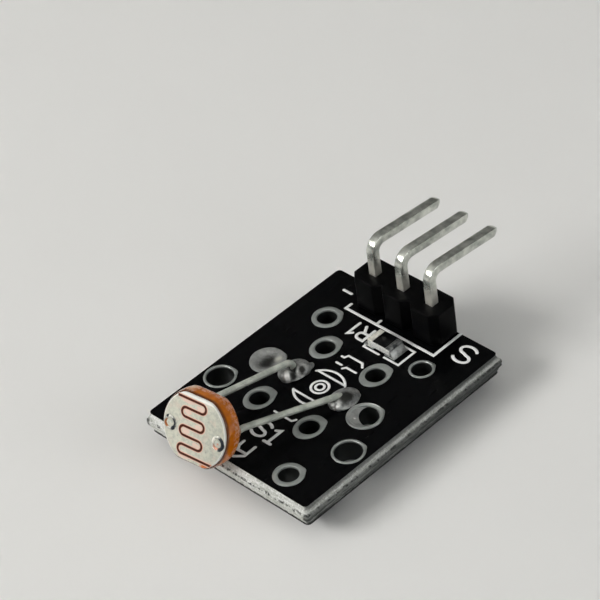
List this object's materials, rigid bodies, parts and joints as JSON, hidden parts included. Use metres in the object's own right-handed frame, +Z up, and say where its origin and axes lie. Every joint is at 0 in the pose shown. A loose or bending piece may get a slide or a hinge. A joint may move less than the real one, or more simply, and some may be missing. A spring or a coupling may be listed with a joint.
{
  "type": "light sensor module",
  "caption": "Small black circuit board with a photocell on two bent wires, a chip resistor, plated holes and a bent pin header.",
  "frame": {"origin": "in the plane of the trimmed tail ends that the module stands on, below the middle of its outline seen from above", "axes": "+X across the board, +Y from the photocell end to the header end, +Z up through the board"},
  "size_m": [0.015, 0.0255, 0.0083],
  "materials": {
    "board": "glossy black solder mask on pale glass laminate",
    "tin": "dull tinned copper",
    "solder": "bright solder",
    "housing": "moulded black plastic",
    "pin": "tin plated square wire",
    "lead": "matt tinned wire",
    "ceramic": "unglazed white ceramic",
    "electrode": "metallised ceramic face under clear resin",
    "track": "dark red photoconductor",
    "resin": "orange dipped resin",
    "glaze": "black glaze"
  },
  "bodies": {
    "root": {"circuit_board": "board", "header_hole_left": "tin", "header_hole_middle": "tin", "header_hole_right": "tin", "header_housing": "housing", "header_pin_left": "pin", "header_pin_middle": "pin", "header_pin_right": "pin", "header_solder_left": "solder", "header_solder_middle": "solder", "header_solder_right": "solder", "lead_hole_left": "tin", "lead_hole_right": "tin", "plated_hole_front_left": "tin", "plated_hole_front_right": "tin", "plated_hole_lower_left": "tin", "plated_hole_lower_right": "tin", "plated_hole_rear_left": "tin", "plated_hole_rear_right": "tin", "plated_hole_upper_left": "tin", "plated_hole_upper_right": "tin", "resistor_body": "ceramic", "resistor_cap_left": "tin", "resistor_cap_right": "tin", "resistor_glaze": "glaze", "resistor_land_left": "tin", "resistor_land_right": "tin", "resistor_solder_left": "solder", "resistor_solder_right": "solder", "sensor_ceramic_base": "ceramic", "sensor_contact_left": "solder", "sensor_contact_right": "solder", "sensor_electrode_left": "electrode", "sensor_electrode_right": "electrode", "sensor_lead_left": "lead", "sensor_lead_right": "lead", "sensor_light_track": "track", "sensor_resin_coat": "resin", "sensor_solder_left": "solder", "sensor_solder_right": "solder", "side_hole_left": "tin", "side_hole_right": "tin", "wide_hole_left": "tin", "wide_hole_right": "tin"}
  },
  "joints": []
}
